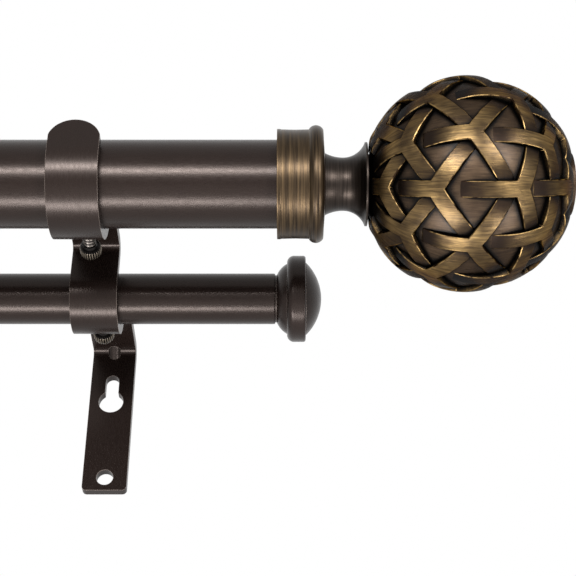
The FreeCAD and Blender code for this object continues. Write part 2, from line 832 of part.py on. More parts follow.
for side, bore in (("right", BACK_BORE), ("left", f"({BACK_INNER} - inner_tube_wall)")):
    end_cap(side)
    start = "(stud_end_gap - back_plug_length)"
    stud(f"cap_stud_{side}", back_body("cap_stud", start, side), "cap_stud_diameter",
         f"(cap_bore_depth - stud_end_gap - {start})")
    body = back_body("back_plug", "(-back_plug_length)", side)
    plug(body, f"({bore} - plug_fit_clearance)", CAP_HOLE, "back_plug_length")


# Check the document, then write each piece

doc.recompute()
for thing in doc.Objects:
    if "Invalid" in thing.State or "Error" in thing.State:
        raise RuntimeError(f"{thing.Label} failed: {thing.State}")

pieces = [thing for thing in doc.Objects
          if thing.TypeId in ("PartDesign::Body", "Part::Feature")]
for piece in pieces:
    if piece.Shape.isNull() or not piece.Shape.isValid():
        raise RuntimeError(f"{piece.Label} has no valid shape")
    if len(piece.Shape.Solids) != 1:
        raise RuntimeError(f"{piece.Label} has {len(piece.Shape.Solids)} solids")
for piece in pieces:
    piece.Shape.exportStep(f"parts/{piece.Label}.step")
print(len(pieces), "pieces written")
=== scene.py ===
"""Double curtain pole: its finishes, woven balls, thumb screws, stage and camera."""

import json
import math

import bmesh
import bpy
from mathutils import Matrix, Vector

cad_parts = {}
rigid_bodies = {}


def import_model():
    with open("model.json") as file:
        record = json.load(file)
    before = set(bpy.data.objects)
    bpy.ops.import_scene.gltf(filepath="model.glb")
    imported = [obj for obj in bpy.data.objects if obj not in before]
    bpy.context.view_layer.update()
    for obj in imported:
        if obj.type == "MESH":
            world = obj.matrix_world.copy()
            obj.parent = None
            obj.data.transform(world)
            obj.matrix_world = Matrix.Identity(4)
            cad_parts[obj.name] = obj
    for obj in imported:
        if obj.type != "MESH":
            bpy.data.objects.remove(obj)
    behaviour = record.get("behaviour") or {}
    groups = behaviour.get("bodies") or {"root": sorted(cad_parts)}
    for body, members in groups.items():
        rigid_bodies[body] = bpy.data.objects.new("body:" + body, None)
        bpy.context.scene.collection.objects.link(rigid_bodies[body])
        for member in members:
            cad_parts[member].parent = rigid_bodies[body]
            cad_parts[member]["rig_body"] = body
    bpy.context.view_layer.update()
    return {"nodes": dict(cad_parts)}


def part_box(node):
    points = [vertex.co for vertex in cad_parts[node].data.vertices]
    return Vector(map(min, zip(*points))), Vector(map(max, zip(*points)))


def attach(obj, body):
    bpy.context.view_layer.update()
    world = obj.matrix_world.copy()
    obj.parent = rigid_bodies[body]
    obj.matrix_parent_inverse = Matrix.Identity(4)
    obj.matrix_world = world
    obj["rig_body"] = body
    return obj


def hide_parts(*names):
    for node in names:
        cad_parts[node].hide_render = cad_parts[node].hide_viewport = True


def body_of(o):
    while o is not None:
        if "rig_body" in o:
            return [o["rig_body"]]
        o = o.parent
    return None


bl_info = {
    "name": "Double Curtain Pole",
    "version": (1, 0, 0),
    "blender": (4, 5, 0),
    "location": "3D View > Sidebar > Curtain Pole",
    "description": "Finishes and detail for a double curtain pole",
    "category": "Add Mesh",
}

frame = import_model()
MM = 0.001
SIDES = ("right", "left")
POLES = ("front", "back")

# Faces that meet at a larger angle than these, in degrees, have a sharp edge between
# them, and an eased one on the straps.
SHARP_ANGLE, EASED_ANGLE = 38.0, 40.0
# Cosine between a face and its eased normal from which an edge begins to wear and to take a painted
# highlight.
EDGE_START = 0.995
# Rays for an eased normal or for the painted shade of a corner.
CORNER_RAYS = 8

# Dark wax and painted shade in the corners of straps and ground: how far out it reaches,
# and the shares of open room between which it thins out.
STRAP_WAX_AND_SHADE, GROUND_WAX_AND_SHADE = (1.6 * MM, 0.7, 0.95), (2.4 * MM, 0.8, 0.9)
LACQUER_ROUGHNESS = 0.34
# Distances from a stud's axis between which its thread is rubbed.
STUD_WEAR = (2.0 * MM, 3.0 * MM)

# The woven ball. Rows run from the neck to the tip: latitude of the forks, and
# how far the arms rise past them, in degrees.
STRAP_ROWS = (
    (-55.0, 19.0), (-38.8, 18.0), (-22.8, 22.0), (-2.8, 20.0),
    (21.9, 9.0), (38.4, 8.0), (60.0, 3.0))
# How far past a fork the stem of the strap two rows on begins, in degrees.
STEM_START = 10.5
# The flat seat at the neck begins close to the axis, so that no face is a needle.
SEAT_START, SEAT_RADIUS = 0.2 * MM, 12.0 * MM
# Rim of the raised tip, and the latitude in degrees at which it ends near the axis.
TIP_RADIUS, TIP_END = 9.0 * MM, 89.6
# How deep a strap's sides reach into the core.
FOOT_DEPTH = 1.2 * MM
# A strap's end sinks from this share of its limb on, so that it slips under its neighbour.
SINK_START = 0.45
END_SINK = 0.7 * MM
# Faces along and across a limb, and of the core from seat to tip, over its tip and round it.
LIMB_STEPS, WIDTH_STEPS = 10, 4
CORE_STEPS, TIP_STEPS, ROUND_STEPS = 60, 8, 128

# Height of a thread's ridge as a share of its pitch, what is left of the root's radius
# at the screw's tip, and of the crest's where the shank goes into the head.
RIDGE_SHARE, TIP_SHARE, JOIN_SHARE = 0.35, 0.9, 0.98
# Outlines of the head at its near and far end: distance past that end in mm, share of
# the head's radius, and whether the knurl runs there.
HEAD_NEAR = (
    (-0.9, 0.62, False), (0.1, 0.66, False), (0.35, 0.86, False), (0.65, 0.93, True),
    (1.0, 1.0, True))
HEAD_FAR = ((-0.45, 1.0, True), (-0.1, 0.94, True), (0.0, 0.84, False), (-0.25, 0.55, False))
# Faces of a thread over one pitch and round the screw, and of a knurl over one tooth.
PITCH_STEPS, THREAD_STEPS, TOOTH_STEPS = 12, 30, 6

# Strength of the white room as a light; as a background it is 1.
ROOM_LIGHT = 0.45
# Each lamp's place, and its size along X and across, in metres. The strips draw the
# bright lines on the poles and stop short of the finials, which the boxes light.
LAMPS = {
    "front_strip": ((-0.1, -1.1, -0.045), (0.4, 0.16)),
    "low_strip": ((-0.15, -0.15, -0.6), (0.43, 0.15)),
    "front_box": ((0.62, -0.9, -0.02), (0.4, 0.3)),
    "low_box": ((0.6, -0.2, -0.6), (0.24, 0.24)),
}
# The line between the poles that the lamps face, as Y and Z.
LAMP_AIM = (-0.1, 0.04)
# How far the floor reaches from the wall holes to the sides and front, and behind, in metres.
FLOOR_REACH, FLOOR_BEHIND = 4.0, 2.5
# The photograph's camera: its place and how far it sees in metres, its pitch in degrees
# and its sensor in millimetres.
CAMERA_PLACE, CAMERA_REACH = (0.0597, -0.4223, -0.2254), 50.0
CAMERA_PITCH, SENSOR_WIDTH = 125.7, 36.0


def linear(code):
    """A colour written as sRGB hex, as the linear red, green and blue that shaders use."""
    parts = [int(code[i:i + 2], 16) / 255 for i in (1, 3, 5)]
    return [p / 12.92 if p <= 0.04045 else ((p + 0.055) / 1.055) ** 2.4 for p in parts]


def colour(name, code, description):
    """A colour that the user may change."""
    return bpy.props.FloatVectorProperty(
        name=name, description=description, subtype="COLOR", min=0, max=1, default=linear(code))


def length(name, millimetres, description):
    """A length that the user may change."""
    return bpy.props.FloatProperty(
        name=name, description=description, subtype="DISTANCE", unit="LENGTH", min=0,
        precision=5, default=millimetres * MM)


def count(name, number, description):
    """A whole number that the user may change."""
    return bpy.props.IntProperty(name=name, description=description, min=1, default=number)


def angle(name, degrees, description):
    """An angle that the user may change."""
    return bpy.props.FloatProperty(
        name=name, description=description, subtype="ANGLE", unit="ROTATION",
        default=math.radians(degrees))


def share(name, part, description):
    """A share from 0 to 1 that the user may change."""
    return bpy.props.FloatProperty(
        name=name, description=description, subtype="FACTOR", min=0, max=1, default=part)


def power(name, watts, description):
    """A lamp's power that the user may change."""
    return bpy.props.FloatProperty(
        name=name, description=description, subtype="POWER", unit="POWER", min=0, default=watts)


class CoatedSteelSettings(bpy.types.PropertyGroup):
    """The dark bronze coat on tubes, brackets and caps."""

    coat: colour("Coat", "#120c0a", "Dark bronze of the coat")
    gloss: colour("Gloss", "#ffebe2", "Warm tint of the coat's gloss, from the metal flake in it")
    # The pale edge colour is the coat worn thin and a painted highlight.
    worn: colour("Worn Edge", "#8c8078", "Where the coat is thin along an edge")
    grain_length: length("Grain Length", 1.8, "Length of a grain in the baked coat")
    grain_width: length("Grain Width", 0.45, "Width of a grain in the baked coat")
    grain_height: length("Grain Height", 0.012, "Height of a grain in the baked coat")
    cloud: length("Cloud", 14.0, "Width of a paler or darker cloud in the baked coat")
    edge_width: length("Edge Width", 0.22, "Width of the eased edges of the strip")


class TurnedBrassSettings(bpy.types.PropertyGroup):
    """The lathe turned collars and necks."""

    brass: colour("Brass", "#4f4130", "Antique brass of the collars")
    stain: colour("Stain", "#1b1715", "Brown stain left in the turning marks")
    bronze: colour("Bronze", "#322c28", "Bronze of the necks")
    mark_width: length("Turning Mark", 0.4, "Distance between two turning marks")
    collar_mark: length("Collar Mark", 0.05, "Depth of the turning marks on a collar")
    neck_mark: length("Neck Mark", 0.03, "Depth of the turning marks on a neck")
    edge_width: length("Edge Width", 0.35, "Width of the eased edges")
    # The darkening of a corner is painted shade.
    corner: length("Corner", 3.0, "How far the dark of a corner reaches")


class WovenBallSettings(bpy.types.PropertyGroup):
    """The woven ball finials."""

    diameter: length("Diameter", 61.8, "Diameter over the straps")
    strap_width: length("Strap Width", 4.5, "Width of a strap")
    strap_height: length("Strap Height", 1.7, "Height of a strap over the core")
    strap_dip: length("Strap Dip", 7.0, "How far the centre of a strap's curve is moved out")
    strap_edge: length("Strap Edge", 0.22, "Width of a strap's eased edge")
    columns: count("Columns", 12, "Columns of straps round the ball")
    turn: angle("Turn", 12.4, "Turn of the first column round the pole's axis")
    brass: colour("Brass", "#8d734a", "Worn antique brass on top of the straps")
    patina: colour("Patina", "#20160f", "Brown patina where the straps dip")
    field: colour("Field", "#5a4937", "Brushed ground between the straps")
    # Recess colour: painted shade in the corners, with the dark wax that sits there.
    recess_wax_and_shade: colour("Recess", "#070504", "Dark wax left in the recesses")
    grazing: colour("Grazing", "#6e6a64", "What the waxed metal mirrors at a grazing angle")
    lacquer: share("Lacquer", 0.16, "Share of the clear lacquer that is left on the brass")
    grain_length: length("Grain Length", 5.0, "Length of a brush mark")
    grain_width: length("Grain Width", 0.2, "Width of a brush mark")
    grain_depth: length("Grain Depth", 0.05, "Depth of a brush mark")


class ThumbScrewSettings(bpy.types.PropertyGroup):
    """The knurled thumb screws that hold the poles."""

    shank: length("Shank", 4.0, "Diameter of the thread")
    pitch: length("Pitch", 1.4, "Pitch of the thread, twice an M4 thread's so that it shows")
    head: length("Head", 6.6, "Diameter of the knurled head")
    head_length: length("Head Length", 3.6, "Length of the head")
    teeth: count("Teeth", 26, "Teeth of the knurl")
    tooth_depth: length("Tooth Depth", 0.48, "Depth of the knurl")
    plating: colour("Plating", "#1e1b1a", "Black plating of the screw")
    tooth_tip: colour("Tooth Tip", "#8c8070", "Brown of the knurl's worn teeth")
    # The crest colour is bare steel and a painted glint.
    thread_crest_and_glint: colour("Thread Crest", "#7d766f", "Bare steel along the thread's crest")


class HiddenFixingSettings(bpy.types.PropertyGroup):
    """The studs and plugs inside the tubes."""

    zinc: colour("Zinc", "#8f9296", "Zinc plating of the studs")
    crest: colour("Crest", "#b9bcc0", "Zinc rubbed bright on the crest of a stud's thread")
    nylon: colour("Nylon", "#161616", "Black nylon of the plugs")
    grain: colour("Grain", "#242424", "Paler grain of the nylon")


class StageSettings(bpy.types.PropertyGroup):
    """Floor, backdrop, lamps and camera."""

    backdrop: colour("Backdrop", "#ffffff", "Colour of the floor and the backdrop")
    floor_depth: length("Floor Depth", 700.0, "Distance from the wall holes down to the floor")
    front_strip: power("Front Strip", 11.5, "Power of the strip lamp in front of the poles")
    low_strip: power("Low Strip", 5.6, "Power of the strip lamp below the poles")
    front_box: power("Front Box", 11.0, "Power of the soft box in front of the finial")
    low_box: power("Low Box", 4.2, "Power of the soft box below the finial")
    focal_length: bpy.props.FloatProperty(
        name="Focal Length", description="Focal length of the lens in millimetres",
        unit="CAMERA", min=1, default=90.6)


SETTINGS = {
    "coated_steel": CoatedSteelSettings,
    "turned_brass": TurnedBrassSettings,
    "woven_balls": WovenBallSettings,
    "thumb_screws": ThumbScrewSettings,
    "hidden_fixings": HiddenFixingSettings,
    "pole_stage": StageSettings,
}


def add_node(material, kind, links=None, **settings):
    """Adds a shader node. Links give each input a value or another node's output."""
    node = material.node_tree.nodes.new(kind)
    for name, setting in settings.items():
        setattr(node, name, setting)
    for socket, source in (links or {}).items():
        if isinstance(source, bpy.types.NodeSocket):
            material.node_tree.links.new(source, node.inputs[socket])
        else:
            node.inputs[socket].default_value = source
    return node


def new_material(name):
    """An empty node material."""
    material = bpy.data.materials.new(name)
    material.use_nodes = True
    material.node_tree.nodes.clear()
    return material


def shaded(material, shader):
    """The material, with a shader on its surface."""
    add_node(material, "ShaderNodeOutputMaterial", {"Surface": shader.outputs[0]})
    return material


def opaque(shade):
    """A colour with its alpha."""
    return (*shade, 1)


def scaled(shade, factor):
    """A paler or darker colour, with its alpha."""
    return opaque([min(1, part * factor) for part in shade])


def streaks(material, coordinates, size, detail=3.0, offset=0.0):
    """Noise from 0 to 1, stretched to a size along X, Y and Z in the coordinates' unit."""
    placed = add_node(material, "ShaderNodeMapping", {
        "Vector": coordinates, "Location": (offset,) * 3, "Scale": [1 / side for side in size]})
    return add_node(material, "ShaderNodeTexNoise", {
        "Vector": placed.outputs["Vector"], "Scale": 1.0, "Detail": detail,
        "Roughness": 0.6}).outputs["Fac"]


def eased_edges(material, width, full):
    """The normal eased over a width, and how much of an edge it is, from 0 to 1.

    Full is the cosine between the face and its eased normal on a full edge.
    """
    eased = add_node(material, "ShaderNodeBevel", {
        "Radius": width}, samples=CORNER_RAYS).outputs["Normal"]
    flat = add_node(material, "ShaderNodeNewGeometry").outputs["Normal"]
    same = add_node(material, "ShaderNodeVectorMath", {
        0: eased, 1: flat}, operation="DOT_PRODUCT").outputs["Value"]
    return eased, add_node(material, "ShaderNodeMapRange", {
        "Value": same, "From Min": EDGE_START, "From Max": full}).outputs["Result"]


def coated_steel_material(looks, name, size):
    """Steel strip or tube under a baked dark bronze coat.

    The coat is satin with a fine grain of metal flake, so a lamp is a soft, warm and
    slightly grainy band in it. It is thin on sharp edges, where a pale line shows, and
    that line is also a painted highlight.
    """
    material = new_material(name)
    place = add_node(material, "ShaderNodeTexCoord").outputs["Object"]
    fine = streaks(material, place, size)
    cloud = streaks(material, place, (looks.cloud,) * 3, detail=2.0, offset=3.7)
    mottle = add_node(material, "ShaderNodeMix", {
        "Factor": cloud, "A": scaled(looks.coat, 0.8), "B": scaled(looks.coat, 1.25)},
        data_type="RGBA")
    eased, edge = eased_edges(material, looks.edge_width, 0.86)
    # Painted highlight along the edges, in patches, partly the coat worn thin.
    patchy = add_node(material, "ShaderNodeMath", {
        0: edge, 1: cloud}, operation="MULTIPLY").outputs["Value"]
    base = add_node(material, "ShaderNodeMix", {
        "Factor": patchy, "A": mottle.outputs["Result"], "B": opaque(looks.worn)},
        data_type="RGBA")
    satin = add_node(material, "ShaderNodeMapRange", {
        "Value": fine, "To Min": 0.18, "To Max": 0.38})
    bump = add_node(material, "ShaderNodeBump", {
        "Height": fine, "Distance": looks.grain_height, "Normal": eased})
    # Matting in the coat takes its gloss below the 0.5 of a clear one.
    return shaded(material, add_node(material, "ShaderNodeBsdfPrincipled", {
        "Base Color": base.outputs["Result"], "Specular IOR Level": 0.22,
        "Specular Tint": opaque(looks.gloss), "Roughness": satin.outputs["Result"],
        "Normal": bump.outputs["Normal"]}))


def turned_material(looks, name, metal, depth):
    """Metal turned on a lathe, stained brown, then rubbed back.

    The stain stays in the turning marks, which ring the axis, so the surface is a
    stack of fine bright and dark rings. Edges are rubbed bright and carry a painted
    highlight, and corners carry a painted shade.
    """
    material = new_material(name)
    place = add_node(material, "ShaderNodeTexCoord").outputs["Object"]
    # Long enough that a mark goes right round.
    ring = 400 * MM
    marks = streaks(material, place, (looks.mark_width, ring, ring), detail=2.0)
    # Coarse rings are four marks wide. Rubbing breaks the rings every 10 mm.
    bands = streaks(material, place, (4 * looks.mark_width, ring, ring), offset=8.3)
    rubbed = streaks(material, place, (looks.mark_width, 10 * MM, 10 * MM), offset=1.9)
    both = add_node(material, "ShaderNodeMath", {
        0: marks, 1: bands}, operation="ADD").outputs["Value"]
    bare = add_node(material, "ShaderNodeMath", {
        0: both, 1: rubbed}, operation="ADD").outputs["Value"]
    kept = add_node(material, "ShaderNodeMapRange", {
        "Value": bare, "From Min": 1.15, "From Max": 1.8}).outputs["Result"]
    eased, edge = eased_edges(material, looks.edge_width, 0.88)
    stained = add_node(material, "ShaderNodeMix", {
        "Factor": kept, "A": opaque(looks.stain), "B": opaque(metal)}, data_type="RGBA")
    # Painted highlight: edges twice as bright as the metal, partly where it is rubbed bare.
    bright = add_node(material, "ShaderNodeMix", {
        "Factor": edge, "A": stained.outputs["Result"], "B": scaled(metal, 2)},
        data_type="RGBA")
    # Painted shade: the colour darkens in corners.
    shade = add_node(material, "ShaderNodeAmbientOcclusion", {
        "Distance": looks.corner, "Color": bright.outputs["Result"]}, samples=CORNER_RAYS)
    rough = add_node(material, "ShaderNodeMapRange", {
        "Value": marks, "To Min": 0.3, "To Max": 0.42})
    bump = add_node(material, "ShaderNodeBump", {
        "Height": both, "Distance": depth, "Normal": eased})
    return shaded(material, add_node(material, "ShaderNodeBsdfPrincipled", {
        "Base Color": shade.outputs["Color"], "Metallic": 1.0,
        "Roughness": rough.outputs["Result"], "Normal": bump.outputs["Normal"]}))


def brushed(material, looks, offset):
    """Brush marks from the neck to the tip. Gives the place on the ball, fine marks, all marks."""
    place = add_node(material, "ShaderNodeTexCoord").outputs["Object"]
    out = add_node(material, "ShaderNodeVectorMath", {0: place}, operation="NORMALIZE")
    axes = add_node(material, "ShaderNodeSeparateXYZ", {"Vector": out.outputs["Vector"]})
    latitude = add_node(material, "ShaderNodeMath", {0: axes.outputs["X"]}, operation="ARCSINE")
    front = add_node(material, "ShaderNodeMath", {
        0: axes.outputs["Y"], 1: -1.0}, operation="MULTIPLY")
    azimuth = add_node(material, "ShaderNodeMath", {
        0: axes.outputs["Z"], 1: front.outputs["Value"]}, operation="ARCTAN2")
    spread = add_node(material, "ShaderNodeCombineXYZ", {
        "X": latitude.outputs["Value"], "Y": azimuth.outputs["Value"]}).outputs["Vector"]
    # As angles at the ball's surface. Coarse marks are twice as long and four times as wide.
    radius = looks.diameter / 2
    long, thin = looks.grain_length / radius, looks.grain_width / radius
    coarse = streaks(material, spread, (2 * long, 4 * thin, 1), detail=2.0, offset=offset)
    fine = streaks(material, spread, (long, thin, 1), detail=2.0, offset=offset + 4.0)
    both = add_node(material, "ShaderNodeMath", {0: coarse, 1: fine}, operation="ADD")
    return place, fine, add_node(material, "ShaderNodeMapRange", {
        "Value": both.outputs["Value"], "From Min": 0.8, "From Max": 1.3,
        "To Min": 0.25}).outputs["Result"]


def waxed_and_shaded(material, looks, metal, wax):
    """Dark wax and painted shade over a colour in corners, where little of the room is open."""
    distance, closed, free = wax
    shade = add_node(material, "ShaderNodeAmbientOcclusion", {
        "Distance": distance}, samples=CORNER_RAYS)
    open_air = add_node(material, "ShaderNodeMapRange", {
        "Value": shade.outputs["AO"], "From Min": closed, "From Max": free})
    return add_node(material, "ShaderNodeMix", {
        "Factor": open_air.outputs["Result"], "A": opaque(looks.recess_wax_and_shade), "B": metal},
        data_type="RGBA").outputs["Result"]


def strap_material(looks):
    """Cast straps plated in antique brass, brushed and thinly lacquered.

    The plating is rubbed to gold streaks on the crown of a strap and keeps its
    brown patina where the strap dips under another.
    """
    material = new_material("antique_brass_brushed_straps")
    place, fine, marks = brushed(material, looks, 0.0)
    along = add_node(material, "ShaderNodeSeparateXYZ", {
        "Vector": add_node(material, "ShaderNodeTexCoord").outputs["UV"]}).outputs["X"]
    crown = add_node(material, "ShaderNodeMapRange", {
        "Value": along, "From Min": 0.85, "From Max": 0.15}, interpolation_type="SMOOTHSTEP")
    # Hands rub the plating in patches 9 mm wide.
    rubbed = streaks(material, place, (9 * MM,) * 3, detail=2.0)
    worn = add_node(material, "ShaderNodeMapRange", {
        "Value": rubbed, "From Min": 0.35, "From Max": 0.6, "To Min": 0.3})
    wear = add_node(material, "ShaderNodeMath", {
        0: crown.outputs["Result"], 1: worn.outputs["Result"]}, operation="MULTIPLY")
    gold = add_node(material, "ShaderNodeMath", {
        0: wear.outputs["Value"], 1: marks}, operation="MULTIPLY")
    metal = add_node(material, "ShaderNodeMix", {
        "Factor": gold.outputs["Value"], "A": opaque(looks.patina), "B": opaque(looks.brass)},
        data_type="RGBA")
    rough = add_node(material, "ShaderNodeMapRange", {
        "Value": fine, "To Min": 0.22, "To Max": 0.4})
    bump = add_node(material, "ShaderNodeBump", {"Height": fine, "Distance": looks.grain_depth})
    # The base colour darkens in the strap's corners: dark wax and painted shade.
    return shaded(material, add_node(material, "ShaderNodeBsdfPrincipled", {
        "Base Color": waxed_and_shaded(material, looks, metal.outputs["Result"], STRAP_WAX_AND_SHADE),
        "Metallic": 1.0, "Specular Tint": opaque(looks.grazing),
        "Roughness": rough.outputs["Result"], "Normal": bump.outputs["Normal"],
        "Coat Weight": looks.lacquer, "Coat Roughness": LACQUER_ROUGHNESS}))


def field_material(looks):
    """The cast ball under the straps, brushed, left brown and thinly lacquered.

    Dark wax and painted shade fill the corner along each strap and draw its outline.
    """
    material = new_material("antique_brass_brown_ground")
    place, fine, marks = brushed(material, looks, 2.0)
    # The brown comes in clouds 6 mm wide.
    cloud = streaks(material, place, (6 * MM,) * 3, detail=2.0, offset=2.2)
    lift = add_node(material, "ShaderNodeMath", {0: marks, 1: cloud}, operation="MULTIPLY")
    ground = add_node(material, "ShaderNodeMix", {
        "Factor": lift.outputs["Value"], "A": opaque(looks.patina), "B": opaque(looks.field)},
        data_type="RGBA")
    bump = add_node(material, "ShaderNodeBump", {"Height": fine, "Distance": looks.grain_depth})
    return shaded(material, add_node(material, "ShaderNodeBsdfPrincipled", {
        "Base Color": waxed_and_shaded(material, looks, ground.outputs["Result"], GROUND_WAX_AND_SHADE),
        "Metallic": 1.0, "Specular Tint": opaque(looks.grazing), "Roughness": 0.4,
        "Normal": bump.outputs["Normal"], "Coat Weight": looks.lacquer,
        "Coat Roughness": LACQUER_ROUGHNESS}))


def worn_and_highlit_edge_material(looks):
    """The edge of a strap, rubbed to bare brass and with a painted highlight: a bright line broken
    every 3 mm.
    """
    material = new_material("antique_brass_worn_edge")
    place = add_node(material, "ShaderNodeTexCoord").outputs["Object"]
    patchy = streaks(material, place, (3 * MM,) * 3, offset=4.4)
    lift = add_node(material, "ShaderNodeMapRange", {
        "Value": patchy, "From Min": 0.4, "From Max": 0.65})
    base = add_node(material, "ShaderNodeMix", {
        "Factor": lift.outputs["Result"], "A": opaque(looks.patina),
        "B": opaque(looks.brass)}, data_type="RGBA")
    return shaded(material, add_node(material, "ShaderNodeBsdfPrincipled", {
        "Base Color": waxed_and_shaded(material, looks, base.outputs["Result"], STRAP_WAX_AND_SHADE),
        "Metallic": 1.0, "Specular Tint": opaque(looks.grazing), "Roughness": 0.36}))


def plated_steel_material(name, base, tip, inner, outer):
    """Steel with a plating that is worn paler where fingers and threads rub it. On a thread's crest
    the paler colour is also a painted glint.

    Inner and outer are the distances from the X axis between which it wears.
    """
    material = new_material(name)
    place = add_node(material, "ShaderNodeTexCoord").outputs["Object"]
    flat = add_node(material, "ShaderNodeVectorMath", {
        0: place, 1: (0, 1, 1)}, operation="MULTIPLY").outputs["Vector"]
    reach = add_node(material, "ShaderNodeVectorMath", {
        0: flat}, operation="LENGTH").outputs["Value"]
    # Grit of the blasted steel under the plating, 0.5 mm coarse so that it shows.
    grit = streaks(material, place, (0.5 * MM,) * 3)
    wear = add_node(material, "ShaderNodeMapRange", {
        "Value": reach, "From Min": inner, "From Max": outer})
    worn = add_node(material, "ShaderNodeMath", {
        0: wear.outputs["Result"], 1: grit}, operation="MULTIPLY")
    shade = add_node(material, "ShaderNodeMix", {
        "Factor": worn.outputs["Value"], "A": opaque(base), "B": opaque(tip)},
        data_type="RGBA")
    rough = add_node(material, "ShaderNodeMapRange", {
        "Value": grit, "To Min": 0.26, "To Max": 0.42})
    bump = add_node(material, "ShaderNodeBump", {"Height": grit, "Distance": 0.01 * MM})
    return shaded(material, add_node(material, "ShaderNodeBsdfPrincipled", {
        "Base Color": shade.outputs["Result"], "Metallic": 0.9,
        "Roughness": rough.outputs["Result"], "Normal": bump.outputs["Normal"]}))


def moulded_nylon_material(looks):
    """Black moulded nylon: a dull even skin with a spark-eroded grain 0.4 mm wide."""
    material = new_material("moulded_black_nylon")
    place = add_node(material, "ShaderNodeTexCoord").outputs["Object"]
    grain = streaks(material, place, (0.4 * MM,) * 3, detail=2.0)
    base = add_node(material, "ShaderNodeMix", {
        "Factor": grain, "A": opaque(looks.nylon), "B": opaque(looks.grain)}, data_type="RGBA")
    bump = add_node(material, "ShaderNodeBump", {"Height": grain, "Distance": 0.02 * MM})
    return shaded(material, add_node(material, "ShaderNodeBsdfPrincipled", {
        "Base Color": base.outputs["Result"], "Roughness": 0.55, "IOR": 1.53,
        "Normal": bump.outputs["Normal"]}))


def seen_or_mirrored(material):
    """1 for the rays that see the background straight, in a mirror or through glass, else 0."""
    path = add_node(material, "ShaderNodeLightPath").outputs
    straight = add_node(material, "ShaderNodeMath", {
        0: path["Is Camera Ray"], 1: path["Is Glossy Ray"]}, operation="MAXIMUM")
    return add_node(material, "ShaderNodeMath", {
        0: straight.outputs["Value"], 1: path["Is Transmission Ray"]},
        operation="MAXIMUM").outputs["Value"]


def backdrop_material(name, shade):
    """White board that stays white in view and in what the metal mirrors, yet takes a shadow."""
    material = new_material(name)
    lift = add_node(material, "ShaderNodeMath", {
        0: seen_or_mirrored(material), 1: 1 - ROOM_LIGHT}, operation="MULTIPLY")
    board = add_node(material, "ShaderNodeBsdfDiffuse", {"Color": opaque(shade)})
    glow = add_node(material, "ShaderNodeEmission", {
        "Color": opaque(shade), "Strength": lift.outputs["Value"]})
    return shaded(material, add_node(material, "ShaderNodeAddShader", {
        0: board.outputs[0], 1: glow.outputs[0]}))


def finish(nodes, material):
    """Gives CAD pieces their finish."""
    for node in nodes:
        piece = frame["nodes"][node]
        piece.data.materials.clear()
        piece.data.materials.append(material)


def new_piece(name, mesh_data, origin, matrix, materials):
    """An object from a bmesh, standing at an origin in the frame, smooth but for its sharp edges."""
    mesh = bpy.data.meshes.new(name)
    mesh_data.normal_update()
    mesh_data.to_mesh(mesh)
    mesh_data.free()
    for material in materials:
        mesh.materials.append(material)
    mesh.shade_smooth()
    mesh.set_sharp_from_angle(angle=math.radians(SHARP_ANGLE))
    piece = bpy.data.objects.new(name, mesh)
    bpy.context.scene.collection.objects.link(piece)
    piece.matrix_world = Matrix.Translation(origin) @ matrix
    return piece


def lathe(mesh_data, profile, segments, material=0):
    """Turns a profile of (x, radius) points round X. A radius is a number or a function of angle."""
    rings = []
    for x, reach in profile:
        ring = []
        for step in range(segments):
            turn = 2 * math.pi * step / segments
            radius = reach(turn) if callable(reach) else reach
            ring.append(mesh_data.verts.new((x, radius * math.sin(turn), radius * math.cos(turn))))
        rings.append(ring)
    for near, far in zip(rings, rings[1:]):
        for step in range(segments):
            after = (step + 1) % segments
            face = mesh_data.faces.new((near[step], near[after], far[after], far[step]))
            face.material_index = material
    for ring in (rings[0][::-1], rings[-1]):
        face = mesh_data.faces.new(ring)
        face.material_index = material


def ball_direction(latitude, azimuth):
    """Unit vector from the ball's centre; latitude runs towards +X."""
    low, turn = math.radians(latitude), math.radians(azimuth)
    return Vector((math.sin(low), math.cos(low) * math.sin(turn), math.cos(low) * math.cos(turn)))


def crossing(one, other, half):
    """Where the near edges of two limbs from the fork cross."""
    spread = abs(one.x * other.y - one.y * other.x)
    return (one + other) * (half / spread)


def strap_limbs(looks, fork, stem_start, arm_rise):
    """The three limbs of a strap, each as its corners at the fork and at its end.

    The corners are flat, with the fork at 0: X runs towards the ball's tip and Y across.
    """
    radius, half = looks.diameter / 2, looks.strap_width / 2
    target = ball_direction(fork + arm_rise, 360 / looks.columns)
    run = target.dot(ball_direction(fork + 90, 0)) * radius
    arm = Vector((run, target.y * radius))
    left, right = arm.normalized(), Vector((arm.x, -arm.y)).normalized()
    stem = Vector((-1, 0))
    stem_reach = radius * math.sin(math.radians(fork - stem_start))
    corners = crossing(stem, right, half), crossing(right, left, half), crossing(left, stem, half)
    reaches = stem_reach, arm.length, arm.length
    limbs = []
    for index, (direction, reach) in enumerate(zip((stem, right, left), reaches)):
        end, across = direction * reach, Vector((-direction.y, direction.x)) * half
        limbs.append((corners[index - 1], corners[index], end - across, end + across))
    return limbs, corners


